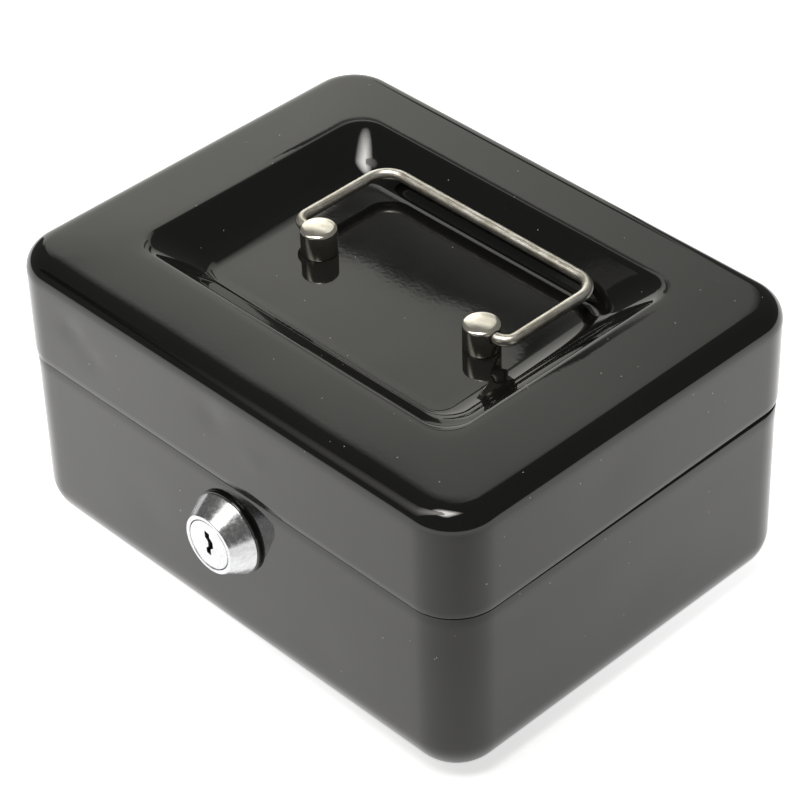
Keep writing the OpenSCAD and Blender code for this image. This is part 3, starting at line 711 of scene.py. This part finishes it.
profile = [(BORE_R, BEZEL_H - PLUG_STEP), (BORE_R, BEZEL_H - 0.28), (BORE_R + 0.06, BEZEL_H - 0.12),
           (BORE_R + 0.2, BEZEL_H - 0.02), (FACE_R - 0.38, BEZEL_H)]
lip_x, lip_z = FACE_R - LIP_ROUND, BEZEL_H - LIP_ROUND
profile += [(lip_x + LIP_ROUND * math.sin(b), lip_z + LIP_ROUND * math.cos(b))
            for b in (math.radians(70) * i / 6 for i in range(1, 7))]
profile += [(FACE_R + 0.18, BEZEL_H - 0.75), ((FACE_R + BEZEL_R) / 2, (BEZEL_H + TRIM_T) / 2 + 0.25),
            (BEZEL_R - 0.14, TRIM_T + 0.42), (BEZEL_R - 0.03, TRIM_T + 0.26), (BEZEL_R, TRIM_T + 0.16),
            (BEZEL_R - 0.04, TRIM_T + 0.06), (BEZEL_R - 0.15, TRIM_T), (BARREL_R, TRIM_T), (BARREL_R, -0.9)]
root, z = BARREL_R - THREAD_DEPTH, THREAD_TOP
while z > BARREL_BACK + 1.3:
    profile += [(root, z), (root, z - 0.12), (BARREL_R, z - 0.55), (BARREL_R, z - 0.67)]
    z -= THREAD_PITCH
profile += [(root, z), (BARREL_R - 0.8, BARREL_BACK), (PLUG_BODY_R + 0.05, BARREL_BACK),
            (PLUG_BODY_R + 0.05, BEZEL_H - PLUG_STEP)]
housing = lathe("lock_bezel_and_barrel", profile, 120, close=False)
for v in housing.data.vertices:
    if v.co.z < (TRIM_T - 0.05) * MM:
        v.co.x = max(-FLAT_X * MM, min(FLAT_X * MM, v.co.x))
settle(housing, to_lock)
crease(housing, 32)
dress(housing, "base", "lock_chrome", plated, "lock_housing")

seat_r = BARREL_R + 0.15
trim = lathe("lock_trim", [
    (seat_r, 0.02), (TRIM_R - 0.05, 0.02), (TRIM_R, 0.1), (TRIM_R, TRIM_T - 0.25),
    (TRIM_R - 0.08, TRIM_T - 0.08), (TRIM_R - 0.25, TRIM_T - 0.01), (seat_r, TRIM_T - 0.01),
    (seat_r, 0.02)], 120, close=False)
settle(trim, to_lock)
crease(trim, 32)
dress(trim, "base", "tray_plastic", enamel, "lock_trim_ring")

KEYWAY = [(-1.1, 3.9), (0.5, 3.6), (0.5, 2.5), (1.5, 1.6), (1.6, -0.2), (0.7, -0.9),
          (0.7, -2.9), (-0.8, -2.6), (-0.8, -1.2), (-0.1, -0.5), (-0.1, 1.0), (-1.1, 2.0)]
FACE_Z, KEY_END, STEPS, FACE_STEP = BEZEL_H - 0.06, -8.5, 96, 1.55
PLUG_END, TANG_END, TANG_HALF = BARREL_BACK - 0.1, -13.4, 2.75

# The plug's face is one flat ring of metal between its edge and the key slot.
edge = circle_points(PLUG_R - 0.22, FACE_Z, STEPS)
slot = [Vector((x, y, FACE_Z)) for x, y in KEYWAY]
verts = edge + slot
faces = [tuple(t) for t in tessellate_polygon([edge, slot])]
n0 = len(verts)
for r, z in ((PLUG_R - 0.08, FACE_Z - 0.05), (PLUG_R, FACE_Z - 0.2), (PLUG_R, FACE_Z - FACE_STEP),
             (PLUG_BODY_R, FACE_Z - FACE_STEP), (PLUG_BODY_R, PLUG_END)):
    verts += circle_points(r, z, STEPS)
start = [0] + [n0 + STEPS * i for i in range(5)]
for a0, a1 in zip(start, start[1:]):
    faces += [(a0 + i, a1 + i, a1 + (i + 1) % STEPS, a0 + (i + 1) % STEPS) for i in range(STEPS)]
faces.append(tuple(start[-1] + i for i in range(STEPS)))
# The key slot's walls and floor, then the square tang that carries the cam.
deep = len(verts)
verts += [Vector((x, y, KEY_END)) for x, y in KEYWAY]
m = len(KEYWAY)
faces += [(STEPS + i, STEPS + (i + 1) % m, deep + (i + 1) % m, deep + i) for i in range(m)]
faces.append(tuple(deep + i for i in range(m)))
t0 = len(verts)
for z in (PLUG_END, TANG_END):
    verts += [Vector((x * TANG_HALF, y * TANG_HALF, z)) for x, y in ((-1, -1), (1, -1), (1, 1), (-1, 1))]
faces += [(t0 + i, t0 + (i + 1) % 4, t0 + 4 + (i + 1) % 4, t0 + 4 + i) for i in range(4)]
faces += [tuple(t0 + i for i in range(4)), tuple(t0 + 7 - i for i in range(4))]
plug = add_mesh("lock_plug_face", [v * MM for v in verts], faces)
settle(plug, to_lock)
crease(plug, 30)
dress(plug, "key_plug", "lock_chrome", plated, "lock_plug")

brass, tree, shader = new_material("wafer_brass")
coords = object_coords(tree)
stain = noise_node(tree, coords, 700, 3, 0.6)
set_finish(tree, shader, blend(tree, stain, 0.3, 0.7, (0.72, 0.55, 0.24), (0.52, 0.38, 0.16)),
           range_node(tree, stain, 0.3, 0.7, 0.25, 0.42),
           bump_node(tree, noise_node(tree, coords, 2600, 2, 0.6), 0.000008), 1)


def redress(node, material):
    """A carried-over CAD node with a finished material."""
    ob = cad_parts[node]
    ob.data.materials.clear()
    ob.data.materials.append(material)


redress("lock_wafers", brass)

# Zinc-plated steel for the fixings: faint blue and straw patches and a rolled grain.
zinc, tree, shader = new_material("zinc_plate")
coords = object_coords(tree)
patch = noise_node(tree, coords, 120, 3, 0.6)
roll_map = tree.nodes.new("ShaderNodeMapping")
roll_map.inputs["Scale"].default_value = (180, 2400, 2400)
tree.links.new(coords, roll_map.inputs["Vector"])
rolled = noise_node(tree, roll_map.outputs["Vector"], 1.0, 3, 0.6)
set_finish(tree, shader, blend(tree, patch, 0.35, 0.65, (0.56, 0.60, 0.66), (0.70, 0.68, 0.62)),
           range_node(tree, rolled, 0.3, 0.7, 0.26, 0.44), bump_node(tree, rolled, 0.000010), 1)


def softened(node, name, body, slot, material, width=0.12, segments=2, angle=30):
    """A CAD node's shape with its flat faces merged and its sharp edges broken by a small round."""
    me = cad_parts[node].data.copy()
    me.name = name
    ob = bpy.data.objects.new(name, me)
    bpy.context.scene.collection.objects.link(ob)
    bm = bmesh.new()
    bm.from_mesh(me)
    bmesh.ops.remove_doubles(bm, verts=bm.verts, dist=2e-6)
    bmesh.ops.dissolve_limit(bm, angle_limit=math.radians(1.0), verts=bm.verts, edges=bm.edges)
    bm.to_mesh(me)
    bm.free()
    b = ob.modifiers.new("round", "BEVEL")
    b.width = width * MM
    b.segments = segments
    b.limit_method = "ANGLE"
    b.angle_limit = math.radians(angle)
    b.use_clamp_overlap = True
    bpy.context.view_layer.update()
    done = bpy.data.meshes.new_from_object(ob.evaluated_get(bpy.context.evaluated_depsgraph_get()))
    ob.modifiers.clear()
    ob.data = done
    crease(ob, 40)
    dress(ob, body, slot, material, node)


softened("lock_nut", "nut", "base", "zinc_steel", zinc, 0.15)
softened("lock_cam", "cam", "key_plug", "zinc_steel", zinc, 0.2)
softened("cam_screw", "cam_screw_head", "key_plug", "zinc_steel", zinc, 0.08)
for node in ("lock_washer", "cam_washer"):
    redress(node, zinc)

# ---------------------------------------------------------------------------
# Strike. A folded strap spot-welded inside the lid's front; the cam lies over
# its foot when the lock is turned.
# ---------------------------------------------------------------------------
softened("strike_plate", "strike", "lid", "zinc_steel", zinc, 0.2)

# ---------------------------------------------------------------------------
# Post fixings. A cross-recessed machine screw and a plain washer, both in
# zinc-plated steel, pull each handle post down from under the dish.
# ---------------------------------------------------------------------------
softened("handle_post_screws", "post_screws", "lid", "zinc_steel", zinc, 0.08)
redress("handle_post_washers", zinc)

# ---------------------------------------------------------------------------
# Hinges. Two butt hinges with rolled knuckles outside the back; each leaf is
# riveted to its wall, and the pin's ends are spread.
# ---------------------------------------------------------------------------
for side in ("left", "right"):
    softened("hinge_base_leaf_" + side, "base_leaf_" + side, "base", "zinc_steel", zinc, 0.15)
    softened("hinge_lid_leaf_" + side, "lid_leaf_" + side, "lid", "zinc_steel", zinc, 0.15)
    redress("hinge_pin_" + side, zinc)

HINGE_X, RIVET_DX = 42.0, 7.0
SHANK_R, HEAD_R, HEAD_H = 1.0, 1.8, 0.68
# Each row of rivets: its body, its node, and where the joined sheets start and end.
RIVET_ROWS = (("base", "hinge_base_rivets", 57.3, 58.9), ("lid", "hinge_lid_rivets", 57.7, 59.3))
rivet_tree, t_in, t_out = group_tree("riveting", [
    ("Rivet", "NodeSocketObject"), ("Finish", "NodeSocketMaterial")])
add_node = rivet_tree.nodes.new
link = rivet_tree.links.new
info = add_node("GeometryNodeObjectInfo")
info.inputs["As Instance"].default_value = True
on_points = add_node("GeometryNodeInstanceOnPoints")
realize = add_node("GeometryNodeRealizeInstances")
coat = add_node("GeometryNodeSetMaterial")
link(t_in.outputs["Rivet"], info.inputs["Object"])
link(t_in.outputs["Geometry"], on_points.inputs["Points"])
link(info.outputs["Geometry"], on_points.inputs["Instance"])
link(on_points.outputs["Instances"], realize.inputs["Geometry"])
link(realize.outputs["Geometry"], coat.inputs["Geometry"])
link(t_in.outputs["Finish"], coat.inputs["Material"])
link(coat.outputs["Geometry"], t_out.inputs["Geometry"])
for body, node, y_in, y_out in RIVET_ROWS:
    lo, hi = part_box(node)
    z = (lo.z + hi.z) / 2 / MM
    grip = y_out - y_in
    profile = [(0.2, -0.5), (1.35, -0.46), (1.75, -0.2), (HEAD_R, 0), (SHANK_R, 0),
               (SHANK_R, grip), (HEAD_R, grip)]
    profile += [(HEAD_R * math.cos(b), grip + HEAD_H * math.sin(b))
                for b in (math.radians(90) * i / 7 for i in range(1, 7))]
    rivet = lathe("rivet_shape", profile + [(0.15, grip + HEAD_H)], 32)
    settle(rivet, Matrix.Rotation(-math.pi / 2, 4, "X"))
    crease(rivet, 35)
    spots = [(s * HINGE_X + k * RIVET_DX, y_in, z) for s in (-1, 1) for k in (-1, 1)]
    seat = add_mesh(body + "_rivets", [Vector(p) * MM for p in spots], [])
    grow(seat, rivet_tree, {"Rivet": rivet, "Finish": zinc})
    bpy.data.objects.remove(rivet)
    dress(seat, body, "zinc_steel", zinc, node)

# ---------------------------------------------------------------------------
# Coin tray. One moulding in dark plastic with a fine spark-eroded grain; it
# hangs on the base's lip by its side flanges and lifts out.
# ---------------------------------------------------------------------------
moulded, tree, shader = new_material("tray_plastic")
coords = object_coords(tree)
grain = noise_node(tree, coords, 1600, 2, 0.6)
flow = noise_node(tree, coords, 22, 3, 0.5)
set_finish(tree, shader, blend(tree, flow, 0.3, 0.7, (0.035, 0.036, 0.038), (0.050, 0.050, 0.052)),
           range_node(tree, grain, 0.3, 0.7, 0.42, 0.58), bump_node(tree, grain, 0.00003))
softened("coin_tray", "tray", "tray", "tray_plastic", moulded, 0.35, 3, 35)
